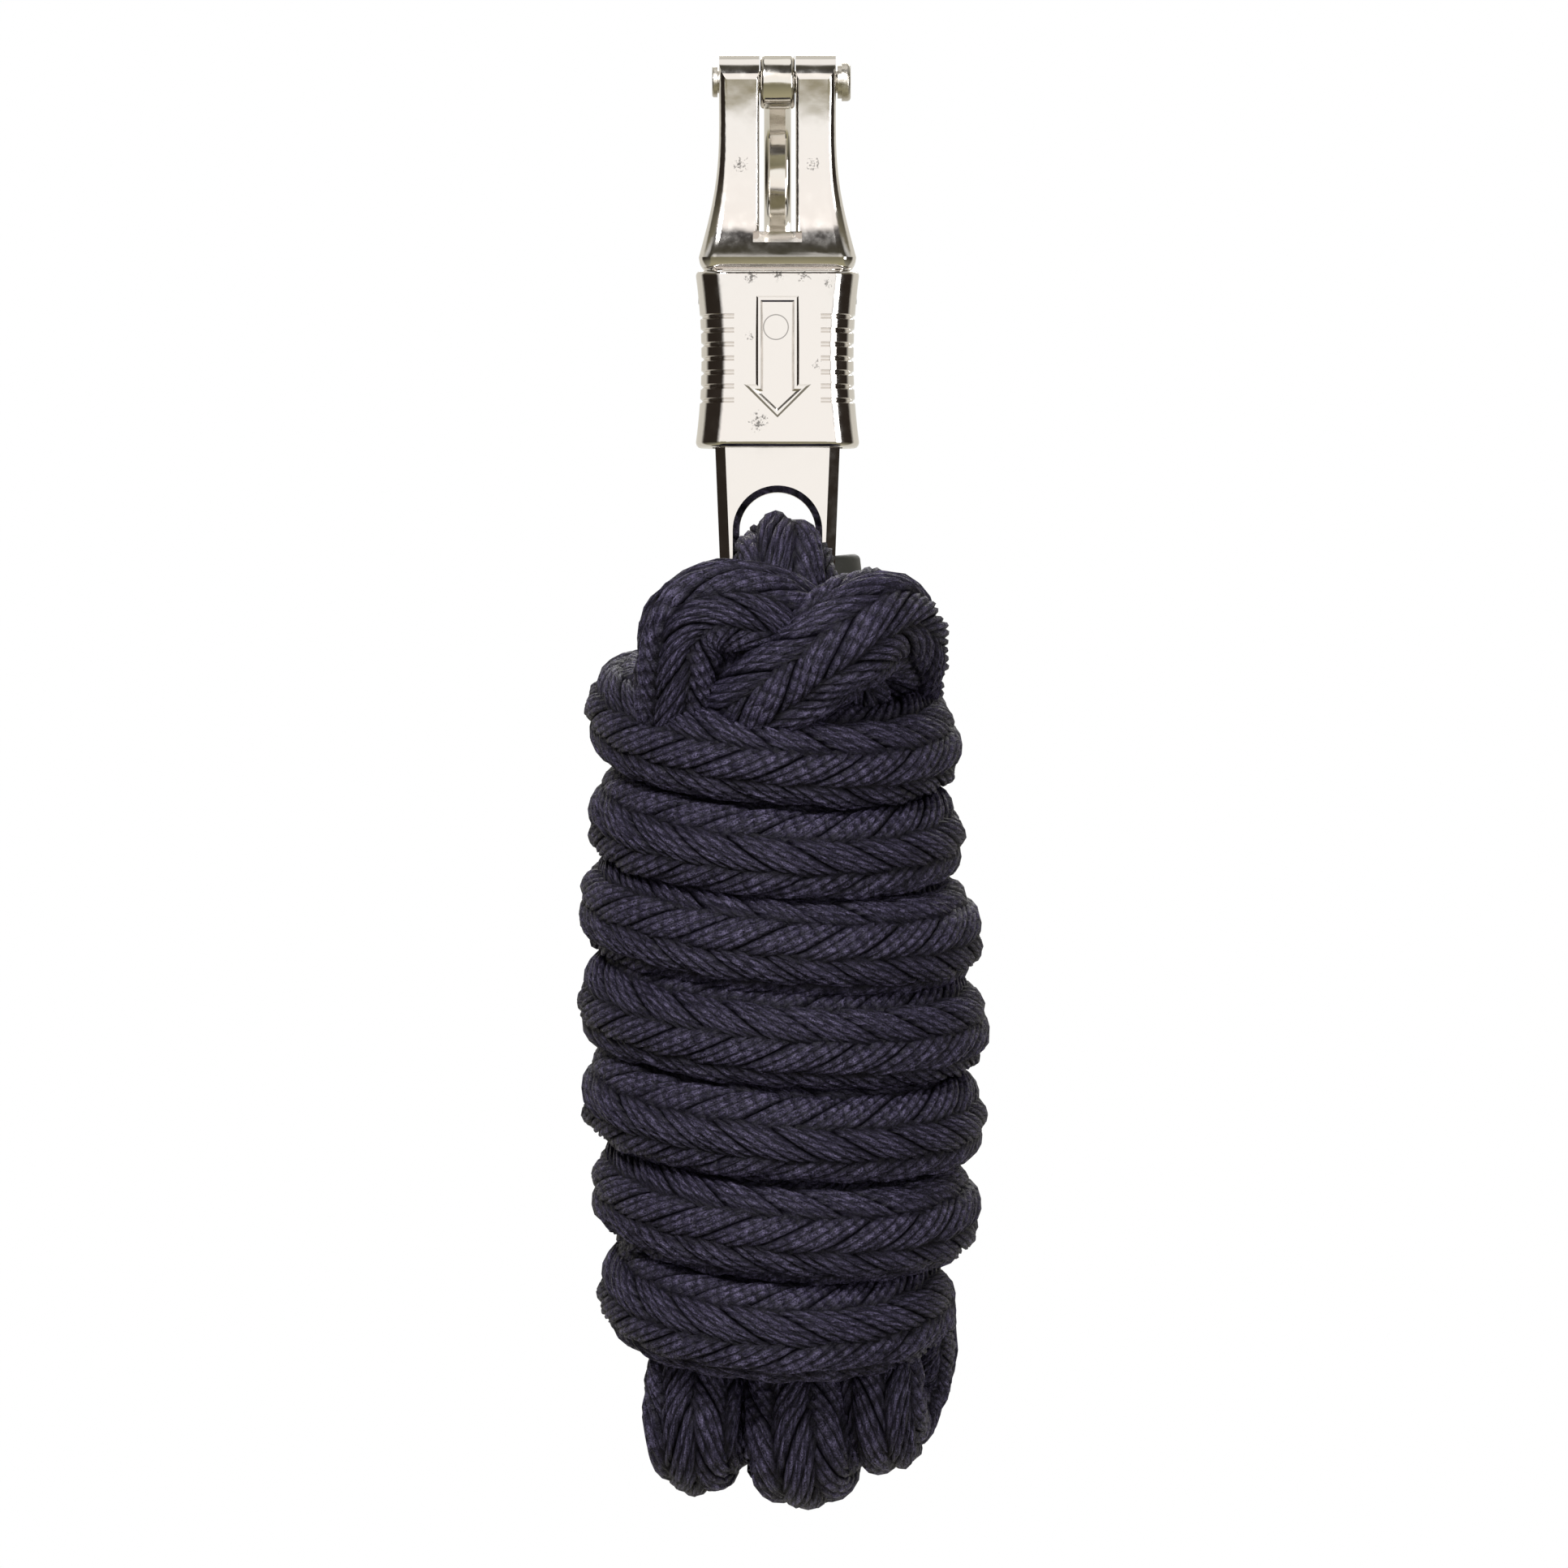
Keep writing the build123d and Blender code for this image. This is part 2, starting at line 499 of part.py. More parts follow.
def strand(points, y):
    """A short piece of free rope across the front, round-ended, through (x, z) points."""
    route = [(x, y, z) for x, z in points]
    with BuildPart(mode=Mode.PRIVATE) as tube:
        with BuildLine() as line:
            FilletPolyline(*route, radius=corner_radii(route))
        with BuildSketch(Plane(origin=line.line @ 0, z_dir=line.line % 0)):
            Circle(ROPE_R)
        sweep()
        for end in (route[0], route[-1]):
            with Locations(end):
                Sphere(ROPE_R)
    return tube.part


def disc(plane, half_length, half_width, thickness, rounding):
    """A thick ellipse with rounded edges, centred on its plane: the outside of one coil of rope."""
    with BuildPart(mode=Mode.PRIVATE) as pillow:
        with BuildSketch(plane.offset(-thickness / 2)):
            Ellipse(half_length, half_width)
        extrude(amount=thickness)
        fillet(pillow.edges().filter_by(lambda e: e.length > half_length), rounding)
    return pillow.part


with BuildPart() as rope_hank:
    for height, left, right in WRAPS:
        add(disc(level(height, (left + right) / 2), (right - left) / 2, HANK_HALF_D, WRAP_HEIGHT, WRAP_ROUND))
    for x, half_thick, low, radius in BIGHTS:
        fold = Plane(origin=(x, MID_Y, low + radius), x_dir=(0, 1, 0), z_dir=(1, 0, 0))
        add(disc(fold, radius * 0.999, radius, 2 * half_thick, half_thick - 1))
    add(strand(LOCKING_STRAND, KNOT_Y))
    loop_x, loop_z, loop_half_w, loop_half_h = FRONT_LOOP
    loop_plane = Plane(origin=(loop_x, KNOT_Y, loop_z), x_dir=(1, 0, 0), z_dir=(0, -1, 0))
    add(disc(loop_plane, loop_half_w, loop_half_h, 2 * ROPE_R, ROPE_R - 0.8))
    with BuildSketch(CAP_AXIS.offset(-CAP_END_WALL - TAIL_LENGTH)) as tail_root:
        Circle(TAIL_R)
    extrude(amount=-12)
    extrude(tail_root.sketch, amount=TAIL_LENGTH, mode=Mode.SUBTRACT)
    # the ferrule and the loop's two legs stand in a well in the hank's top
    with BuildSketch(level(FERRULE_LOW_Z)):
        RectangleRounded(2 * (LOOP_R + FERRULE_WALL + 0.6), 2 * POCKET_HALF_D, 4.0)
    extrude(amount=40, mode=Mode.SUBTRACT)
save(rope_hank.part, "rope_hank")
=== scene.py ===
"""Looks for a lead rope: a braided navy rope tied in a hank, on a nickel-plated panic snap."""
from math import cos, pi, radians, sin

import bpy
import numpy as np
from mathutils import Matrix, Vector

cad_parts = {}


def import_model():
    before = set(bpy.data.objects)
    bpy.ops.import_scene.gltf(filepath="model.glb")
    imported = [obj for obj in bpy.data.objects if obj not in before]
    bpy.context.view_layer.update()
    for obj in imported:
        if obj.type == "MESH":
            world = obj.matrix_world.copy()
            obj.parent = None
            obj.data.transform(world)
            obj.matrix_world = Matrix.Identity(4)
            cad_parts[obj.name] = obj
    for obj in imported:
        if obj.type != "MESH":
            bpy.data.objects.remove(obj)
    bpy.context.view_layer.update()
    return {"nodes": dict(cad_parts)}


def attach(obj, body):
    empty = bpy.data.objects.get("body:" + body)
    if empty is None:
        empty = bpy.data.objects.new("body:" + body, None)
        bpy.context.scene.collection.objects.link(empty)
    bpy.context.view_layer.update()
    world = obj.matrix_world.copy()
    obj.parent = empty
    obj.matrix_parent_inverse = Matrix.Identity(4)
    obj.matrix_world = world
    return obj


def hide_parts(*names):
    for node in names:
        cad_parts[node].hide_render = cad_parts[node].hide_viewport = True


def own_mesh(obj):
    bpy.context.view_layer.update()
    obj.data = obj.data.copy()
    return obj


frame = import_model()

MM = 0.001
MID_Y = -9.5                # the snap's mid plane, in millimetres, as in the CAD model

# ---------------------------------------------------------------- rope: sizes
ROPE_R = 10.0
BRAID_LAY = 78.6            # one carrier's full turn round the rope
CARRIERS = 8                # in each direction
YARNS = 4                   # side by side in a carrier
BRAID_ANGLE = np.arctan(2 * pi * (ROPE_R - 0.8) / BRAID_LAY)

# ---------------------------------------------------------------- rope: route, in millimetres
# Depths are measured from the snap's mid plane, + to the back.
EYE_LOOP = [
    (0, 7.3, -116), (0, 7.3, -107), (0, 12, -97.5), (0.6, 12, -78.8),
    (1.0, -13.4, -72.3), (1.4, -12, -97.5), (0.5, -7.6, -107), (0.5, -7.3, -116),
]
MIDDLE_BIGHT = [
    (1.0, -8.6, -130), (1.5, -9.3, -155), (2.0, -9.3, -182), (2.5, -9.6, -208),
    (3.4, -11.4, -230), (4.2, -11.8, -247.6), (6.8, 11.8, -246.4), (5.2, 11.4, -230),
    (2.0, 9.6, -208), (1.8, 9.3, -182), (1.6, 9.3, -155), (3.0, 10.2, -130),
]
LOCKING_STRAND = [
    (9.0, 13.0, -115), (16.5, 11.5, -106.5), (21.4, 3.0, -98.5), (22.6, -11.0, -89.4),
    (18.6, -25.0, -85.6), (11.0, -30.0, -90.2), (4.5, -29.0, -95.4), (-3.5, -27.0, -101.2),
    (-9.0, -19.0, -106.0), (-11.4, -7.0, -111), (-12.6, 6.0, -120),
]
LEFT_BIGHT = [
    (-13.3, 9.3, -132), (-13.6, 9.3, -157), (-14.0, 9.3, -183), (-14.6, 9.6, -208),
    (-14.4, 11.0, -229), (-13.2, 11.2, -244.6), (-16.2, -11.2, -244.2), (-16.0, -11.0, -229),
    (-15.4, -9.6, -208), (-14.4, -9.3, -183), (-14.0, -9.3, -157), (-14.4, -10.0, -132),
]
FRONT_LOOP = [
    (-17.0, -12.5, -116), (-18.0, -18.0, -105.5), (-17.8, -24.0, -95.5), (-16.6, -27.0, -85.8),
    (-8.6, -28.0, -83.4), (0.2, -26.5, -86.0), (6.8, -20.5, -92.0), (12.5, -13.0, -102),
    (15.2, -10.0, -115),
]
RIGHT_BIGHT = [
    (15.8, -9.4, -130), (16.4, -9.3, -155), (16.8, -9.3, -182), (17.4, -9.6, -206),
    (18.8, -10.8, -225), (19.6, -10.8, -240.4), (21.6, 10.6, -239.6), (26.4, 15.0, -229),
]
TAIL = [(-27.0, 17.0, -98.5), (-15.0, 26.0, -96.8), (-3.0, 29.4, -96.6), (6.6, 29.2, -92.0),
        (8.2, 28.7, -83.5), (7.0, 28.6, -75.2)]
# (right end x, its z, left end x, its z, front z) of each wrap, from the lowest up
WRAPS = [
    (34.4, -214.0, -34.6, -211.8, -221.0),
    (39.0, -197.2, -36.0, -192.8, -202.0),
    (40.2, -179.2, -38.0, -174.8, -183.4),
    (40.8, -161.7, -38.6, -156.8, -165.2),
    (39.6, -144.1, -38.4, -139.0, -147.4),
    (36.0, -125.6, -36.6, -121.9, -130.0),
    (35.4, -107.8, -36.8, -102.6, -112.0),
]
HANK_HALF_D = 35.0
WRAP_POINTS = 16            # control points in a turn
WRAP_THICK = 0.77           # a wrap's radial squeeze
WRAP_TALL = 1.05
BACK_RISE = 1.5             # how far a wrap bows upwards behind
POLYGON_GROW = 1 / cos(pi / WRAP_POINTS) ** 0.75    # the spline runs inside its control polygon


def smooth(t):
    """0 to 1 with flat ends."""
    t = np.clip(t, 0.0, 1.0)
    return t * t * (3 - 2 * t)


def wrap_points():
    """Control points of the seven wraps, wound right, front, left, back, from the lowest up."""
    points = []
    for index, (right, right_z, left, left_z, front_z) in enumerate(WRAPS):
        above = WRAPS[index + 1] if index + 1 < len(WRAPS) else None
        sag = (right_z + left_z) / 2 - front_z
        steps = WRAP_POINTS if above else WRAP_POINTS // 2 + 1
        for step in range(steps):
            turn = 2 * pi * step / WRAP_POINTS
            if turn <= pi:
                blend = (1 - cos(turn)) / 2
                end, z = right, right_z + (left_z - right_z) * blend - sag * sin(turn)
            else:
                blend = (1 - cos(turn - pi)) / 2
                end, z = above[0], left_z + (above[1] - left_z) * blend + BACK_RISE * sin(turn - pi)
            inner = ROPE_R * WRAP_THICK
            half_w = (end - left) / 2 - inner
            x = (end + left) / 2 + half_w * POLYGON_GROW * cos(turn)
            y = -(HANK_HALF_D - inner) * POLYGON_GROW * sin(turn)
            points.append((x, y, z))
    return points


# The stretches of the route in order: (points, kind), where kind picks the rows of PRESSES.
SAMPLE_STEP = 0.8           # millimetres between even samples, fine enough for the tightest fold
PRESS_BLEND = 17            # samples over which one kind of pressing gives way to the next
ROUTE = [
    (EYE_LOOP, "eye"), (MIDDLE_BIGHT, "middle"), (LOCKING_STRAND, "knot"), (LEFT_BIGHT, "left"),
    (FRONT_LOOP, "loop"), (RIGHT_BIGHT, "right"), (wrap_points(), "wrap"), (TAIL, "tail"),
]


def route_controls():
    """All control points in millimetres in the shared frame, and the kind of each."""
    points, kinds = [], []
    for stretch, kind in ROUTE:
        for x, depth, z in stretch:
            points.append((x, MID_Y + depth, z))
            kinds.append(kind)
    return np.array(points), kinds


def nurbs_line(points, resolution=16):
    """Points along the NURBS spline whose control points are given, in the same units."""
    curve = bpy.data.curves.new("route", "CURVE")
    curve.dimensions = "3D"
    spline = curve.splines.new("NURBS")
    spline.points.add(len(points) - 1)
    for target, point in zip(spline.points, points):
        target.co = (*point, 1.0)
    spline.order_u = 3
    spline.use_endpoint_u = True
    spline.resolution_u = resolution
    holder = bpy.data.objects.new("route", curve)
    bpy.context.scene.collection.objects.link(holder)
    bpy.context.view_layer.update()
    line = bpy.data.meshes.new_from_object(holder.evaluated_get(bpy.context.evaluated_depsgraph_get()))
    sampled = np.array([v.co[:] for v in line.vertices])
    bpy.data.objects.remove(holder)
    bpy.data.curves.remove(curve)
    bpy.data.meshes.remove(line)
    return sampled


class Route:
    """The rope's centreline with frames that don't twist, looked up by distance along it."""

    def __init__(self):
        controls, self.kinds = route_controls()
        line = nurbs_line(controls)
        steps = np.linalg.norm(np.diff(line, axis=0), axis=1)
        distance = np.concatenate([[0], np.cumsum(steps)])
        self.length = distance[-1]
        self.s = np.linspace(0, self.length, int(self.length / SAMPLE_STEP))
        self.p = np.column_stack([np.interp(self.s, distance, line[:, i]) for i in range(3)])
        # where each even sample lies among the control points
        along = np.linspace(0, len(controls) - 1, len(line))
        self.where = np.interp(self.s, distance, along)
        tangent = np.gradient(self.p, axis=0)
        self.t = tangent / np.linalg.norm(tangent, axis=1)[:, None]
        self.n = self.untwisted()
        self.b = np.cross(self.t, self.n)
        self.press = self.pressing()

    def untwisted(self):
        """A normal carried along the line by double reflection."""
        normals = np.zeros_like(self.p)
        start = np.array([1.0, 0.0, 0.0])
        start -= self.t[0] * start.dot(self.t[0])
        normals[0] = start / np.linalg.norm(start)
        for i in range(len(self.p) - 1):
            v1 = self.p[i + 1] - self.p[i]
            c1 = v1.dot(v1)
            r = normals[i] - 2 / c1 * v1.dot(normals[i]) * v1
            t = self.t[i] - 2 / c1 * v1.dot(self.t[i]) * v1
            v2 = self.t[i + 1] - t
            c2 = v2.dot(v2)
            normals[i + 1] = r if c2 < 1e-14 else r - 2 / c2 * v2.dot(r) * v2
        return normals

    def pressing(self):
        """3x3 matrices that squash the round section where the rope is pressed."""
        count = len(self.p)
        matrices = np.tile(np.eye(3), (count, 1, 1))
        for kind, amount, spread, direction in PRESSES:
            flags = np.array([1.0 if k == kind else 0.0 for k in self.kinds])
            weight = np.interp(self.where, np.arange(len(flags)), flags)
            weight = np.convolve(weight, np.ones(PRESS_BLEND) / PRESS_BLEND, mode="same")
            amount = amount(self.p) if callable(amount) else amount
            out = direction(self.p)
            out -= self.t * np.sum(out * self.t, axis=1)[:, None]
            out /= np.linalg.norm(out, axis=1)[:, None] + 1e-9
            across = np.cross(self.t, out)
            matrices += (weight * (amount - 1))[:, None, None] * out[:, :, None] * out[:, None, :]
            matrices += (weight * (spread - 1))[:, None, None] * across[:, :, None] * across[:, None, :]
        return matrices

    def surface(self, s, theta, radius):
        """Points on the rope at distance s, angle theta and distance radius from its centreline."""
        shape = s.shape
        s, theta, radius = s.ravel(), theta.ravel(), radius.ravel()
        place = np.clip(s, 0, self.length) / self.length * (len(self.s) - 1)
        low = np.clip(place.astype(int), 0, len(self.s) - 2)
        part = (place - low)[:, None]

        def mix(values):
            return values[low] * (1 - part) + values[low + 1] * part

        normal, other = mix(self.n), mix(self.b)
        offset = radius[:, None] * (np.cos(theta)[:, None] * normal + np.sin(theta)[:, None] * other)
        press = self.press[low] * (1 - part[:, :, None]) + self.press[low + 1] * part[:, :, None]
        points = mix(self.p) + np.einsum("nij,nj->ni", press, offset)
        return points.reshape(*shape, 3)


HANK_AXIS_X = 1.2
WRAP_LEAN = 0.36
FREE_WIDTH = 1.05           # of the eye's loop, as a share of the round rope
EYE_SQUEEZE = 0.34
EYE_SIDES_END = 4.2         # the eye's sides reach this far before and behind the mid plane
EYE_RELEASE = 2.4           # and the rope is wide again this much further
EYE_SIDES_LOW_Z = -90
BAR_SQUEEZE = 0.22
BAR_TOP_Z = -79
BAR_RELEASE = 6
LEG_WIDTH = 0.80            # of a leg among its neighbours inside the wraps
FOLD_TOP_Z = -218
FOLD_RELEASE = 14


def sideways(points):
    """The direction that the eye and the neighbouring legs press in: left and right."""
    return np.tile(np.array([1.0, 0.0, 0.0]), (len(points), 1))


def outward(points):
    """Away from the hank's axis, leaning so that each wrap's lower edge stands proud in front."""
    away = points - np.array([HANK_AXIS_X, MID_Y, 0.0])
    away[:, 2] = 0
    away /= np.linalg.norm(away, axis=1)[:, None] + 1e-9
    away[:, 2] = WRAP_LEAN
    return away


def frontward(points):
    """Towards the viewer of the snap's flat side."""
    return np.tile(np.array([0.0, -1.0, 0.0]), (len(points), 1))


def eye_grip(points):
    """The rope's width where the eye's sides grip it, and its full width a little way before and behind."""
    away = np.abs(points[:, 1] - MID_Y)
    grip = (1 - smooth((away - EYE_SIDES_END) / EYE_RELEASE)) * (points[:, 2] > EYE_SIDES_LOW_Z)
    return FREE_WIDTH - EYE_SQUEEZE * grip


def bar_grip(points):
    """The rope's thickness where its two legs press on the eye's lower bar."""
    return 1 - BAR_SQUEEZE * smooth((BAR_TOP_Z - points[:, 2]) / BAR_RELEASE)


def folded(width):
    """A bight's legs are pressed together inside the wraps and its fold below them is width wide."""
    def width_at(points):
        return LEG_WIDTH + (width - LEG_WIDTH) * smooth((FOLD_TOP_Z - points[:, 2]) / FOLD_RELEASE)
    return width_at


# (kind, squeeze along the direction, spread across it, direction)
PRESSES = (
    ("eye", eye_grip, 1.0, sideways),
    ("eye", bar_grip, 1.0, frontward),
    ("knot", 0.86, 1.12, frontward),
    ("loop", 0.86, 1.0, frontward),
    ("left", folded(0.98), 1.0, sideways),
    ("middle", folded(1.13), 1.0, sideways),
    ("right", folded(0.92), 1.0, sideways),
    ("wrap", WRAP_THICK, WRAP_TALL, outward),
    ("tail", 0.82, 0.82, frontward),
)


def new_mesh(name, verts, faces, uv_layers):
    """A smooth mesh object from vertex and quad arrays and {layer: UVs by vertex}, in the scene."""
    mesh = bpy.data.meshes.new(name)
    mesh.vertices.add(len(verts))
    mesh.vertices.foreach_set("co", np.asarray(verts, dtype=np.float32).ravel())
    sides = faces.shape[1]
    mesh.loops.add(len(faces) * sides)
    mesh.loops.foreach_set("vertex_index", faces.astype(np.int32).ravel())
    mesh.polygons.add(len(faces))
    mesh.polygons.foreach_set("loop_start", np.arange(len(faces), dtype=np.int32) * sides)
    mesh.update(calc_edges=True)
    mesh.polygons.foreach_set("use_smooth", np.ones(len(faces), dtype=bool))
    for layer_name, uvs in uv_layers.items():
        layer = mesh.uv_layers.new(name=layer_name)
        layer.data.foreach_set("uv", uvs[faces.ravel()].astype(np.float32).ravel())
    mesh.validate()
    piece = bpy.data.objects.new(name, mesh)
    bpy.context.scene.collection.objects.link(piece)
    return piece


# ---------------------------------------------------------------- rope: braid
FLOAT_STATIONS = np.radians([-19.0, -10.0, 0.0, 10.0, 19.0, 28.0, 45.0, 62.0])   # in each quarter turn
FIRST_FLOAT = {1: radians(11.25), -1: radians(56.25)}     # the middle of a float, for each direction
FLOAT_FLATNESS = 0.42       # how much longer than a plain wave a float stays up
UNDERSIDE_DEPTH = 0.9       # the carrier's closed underside, in yarn heights
UNDERSIDE_HALF_W = 0.47     # and in carrier widths
CORE_SIDES = 20
CORE_STEP = 3.2
WEAVE_DEPTH = 1.05          # how far a carrier rises over the others and dips under them
CARRIER_W = 5.9
CARRIER_CROWN = 0.75        # how much higher its middle is than its edges
YARN_HEIGHT = 0.70          # from the groove between two yarns to their tops
LOBE = np.array([0.0, 0.9, 0.9])             # a yarn's rounded top, three points to a yarn
LOBE_PLACE = np.array([0.0, 0.3, 0.7])
CARRIER_BASE = ROPE_R - WEAVE_DEPTH - CARRIER_CROWN - YARN_HEIGHT


def profile():
    """Across a carrier: offsets, heights and yarn numbers of its top, then its closed underside."""
    offsets, heights, numbers = [], [], []
    for yarn in range(YARNS):
        for place, height in zip(LOBE_PLACE, LOBE):
            offsets.append((yarn + place) / YARNS - 0.5)
            heights.append(height)
            numbers.append(yarn + place)
    offsets.append(0.5)
    heights.append(0.0)
    numbers.append(YARNS)
    offsets += [UNDERSIDE_HALF_W, -UNDERSIDE_HALF_W]
    heights += [-UNDERSIDE_DEPTH, -UNDERSIDE_DEPTH]
    numbers += [YARNS + 0.5, -0.5]
    offsets, heights = np.array(offsets), np.array(heights)
    crown = CARRIER_CROWN * (1 - (2 * offsets) ** 2)
    return offsets * CARRIER_W, heights * YARN_HEIGHT + crown, np.array(numbers)


def carrier(route, index, hand):
    """Vertices, quads and UVs of one carrier; hand is +1 or -1 for its direction round the rope."""
    offsets, heights, numbers = profile()
    quarter = pi / 2
    quarters = int(route.length / (BRAID_LAY / 4)) + 3
    centre = FIRST_FLOAT[hand]
    start = 2 * pi * index / CARRIERS
    # angles that the carrier passes through, in order along the rope
    first = int(np.floor((hand * start - hand * centre) / quarter)) - 1
    turns = (np.arange(first, first + quarters)[:, None] * quarter + hand * centre + FLOAT_STATIONS).ravel()
    theta = hand * turns
    run = BRAID_LAY / (2 * pi) * (turns - hand * start)
    s = run[:, None] - hand * offsets[None, :] / sin(BRAID_ANGLE)
    keep = (s.min(axis=1) > -4) & (s.max(axis=1) < route.length + 4)
    s, theta, run = s[keep], theta[keep], run[keep]
    swing = np.cos(4 * (theta - centre))
    lift = swing * (1 + FLOAT_FLATNESS - FLOAT_FLATNESS * swing ** 2) * WEAVE_DEPTH
    # unevenness: each float's rise, each carrier's height and each yarn's height
    puff = 1 + 0.14 * np.sin(run / 6.1 + 3.3 * index + 2 * hand)
    angle = np.repeat(theta[:, None], len(offsets), axis=1)
    wander = 0.16 * np.sin(run / 23.0 + 2.4 * index + hand) + 0.12 * np.sin(run / 7.3 + 5.1 * index)
    uneven = 0.14 * np.sin(run[:, None] / 4.1 + 2.7 * numbers[None, :] + 1.7 * index + hand)
    radius = CARRIER_BASE + (lift * puff + wander)[:, None] + heights[None, :] + uneven
    points = route.surface(s, angle, radius)
    rows, columns = s.shape
    grid = np.arange(rows * columns).reshape(rows, columns)
    after = np.roll(grid, -1, axis=1)
    quads = np.stack([grid[:-1], grid[1:], after[1:], after[:-1]], axis=-1).reshape(-1, 4)
    if hand < 0:
        quads = quads[:, ::-1]
    along = np.repeat((run / cos(BRAID_ANGLE))[:, None], columns, axis=1)
    across = np.repeat(numbers[None, :], rows, axis=0)
    yarn = np.stack([along, across + 10 * index], axis=-1).reshape(-1, 2)
    height = np.repeat((0.5 + 0.5 * swing)[:, None], columns, axis=1)
    weave = np.stack([np.clip(across / YARNS, 0, 1), height], axis=-1).reshape(-1, 2)
    return points.reshape(-1, 3), quads, yarn, weave


def core(route):
    """The plain inside of the rope, which closes the gaps between the carriers."""
    s = np.linspace(0, route.length, int(route.length / CORE_STEP))
    theta = 2 * pi * np.arange(CORE_SIDES) / CORE_SIDES
    grid_s = np.repeat(s[:, None], CORE_SIDES, axis=1)
    grid_theta = np.repeat(theta[None, :], len(s), axis=0)
    radius = np.full_like(grid_s, CARRIER_BASE - WEAVE_DEPTH + 0.2)
    points = route.surface(grid_s, grid_theta, radius)
    grid = np.arange(len(s) * CORE_SIDES).reshape(len(s), CORE_SIDES)
    after = np.roll(grid, -1, axis=1)
    quads = np.stack([grid[:-1], after[:-1], after[1:], grid[1:]], axis=-1).reshape(-1, 4)
    no_uvs = np.zeros((len(s) * CORE_SIDES, 2))
    return points.reshape(-1, 3), quads, no_uvs, no_uvs


def make_rope(route):
    """The whole rope as one mesh of sixteen braided carriers round a core."""
    parts = [core(route)]
    for hand in (1, -1):
        for index in range(CARRIERS):
            parts.append(carrier(route, index, hand))
    verts, quads, yarns, weaves = (list(column) for column in zip(*parts))
    base = 0
    for index, points in enumerate(verts):
        quads[index] = quads[index] + base
        base += len(points)
    layers = {"yarn": np.concatenate(yarns), "weave": np.concatenate(weaves)}
    return new_mesh("rope", np.concatenate(verts) * MM, np.concatenate(quads), layers)


route = Route()
rope = make_rope(route)
print("rope length mm", round(route.length, 1), "quads", len(rope.data.polygons))


# ---------------------------------------------------------------- materials
IN_MM = (1000, 1000, 1000)  # object coordinates come in metres


def blank_material(name, **inputs):
    """A material with a Principled shader, whose constant inputs are given by name."""
    material = bpy.data.materials.new(name)
    material.use_nodes = True
    shader = material.node_tree.nodes["Principled BSDF"]
    for key, value in inputs.items():
        shader.inputs[key.replace("_", " ")].default_value = value
    return material, material.node_tree, shader


def add(tree, kind, **inputs):
    """A new node; inputs are constants, or sockets to link from."""
    made = tree.nodes.new("ShaderNode" + kind)
    for key, value in inputs.items():
        target = made.inputs[int(key[1:])] if key[0] == "_" else made.inputs[key.replace("_", " ")]
        if isinstance(value, bpy.types.NodeSocket):
            tree.links.new(value, target)
        else:
            target.default_value = value
    return made


def math(tree, operation, *values):
    """A Math node's output; values are numbers or sockets."""
    made = add(tree, "Math", **{f"_{i}": value for i, value in enumerate(values)})
    made.operation = operation
    return made.outputs[0]


def object_place(tree, scale):
    """Object coordinates in metres times scale, which may differ by axis."""
    place = add(tree, "TexCoord")
    mapping = add(tree, "Mapping", Vector=place.outputs["Object"], Scale=scale)
    return mapping.outputs[0]


def noise(tree, place, scale, detail=2.0, roughness=0.5, distortion=0.0):
    """A noise texture's value at a place."""
    made = add(tree, "TexNoise", Vector=place, Scale=scale, Detail=detail, Roughness=roughness,
               Distortion=distortion)
    return made.outputs[0]


def away_from(tree, place, point):
    """The distance from place to a point."""
    made = add(tree, "VectorMath", _0=place, _1=point)
    made.operation = "DISTANCE"
    return made.outputs["Value"]


def ramp(tree, value, *stops):
    """A colour ramp's output through (position, grey or colour) stops."""
    made = add(tree, "ValToRGB", _0=value)
    elements = made.color_ramp.elements
    while len(elements) < len(stops):
        elements.new(0.5)
    for element, (position, colour) in zip(elements, stops):
        element.position = position
        element.color = (*colour, 1) if isinstance(colour, tuple) else (colour, colour, colour, 1)
    return made.outputs[0]


def mixed(tree, factor, first, second):
    """A colour mix; first and second are colours or sockets."""
    made = tree.nodes.new("ShaderNodeMix")
    made.data_type = "RGBA"
    for socket, value in ((made.inputs[0], factor), (made.inputs[6], first), (made.inputs[7], second)):
        if isinstance(value, bpy.types.NodeSocket):
            tree.links.new(value, socket)
        else:
            socket.default_value = (*value, 1) if isinstance(value, tuple) else value
    return made.outputs[2]


def bump(tree, shader, *layers):
    """Bump layers of (height socket, depth in metres, strength), one over another, on the shader."""
    normal = None
    for height, depth, strength in layers:
        made = add(tree, "Bump", Height=height, Distance=depth, Strength=strength)
        if normal is not None:
            tree.links.new(normal, made.inputs["Normal"])
        normal = made.outputs[0]
    tree.links.new(normal, shader.inputs["Normal"])


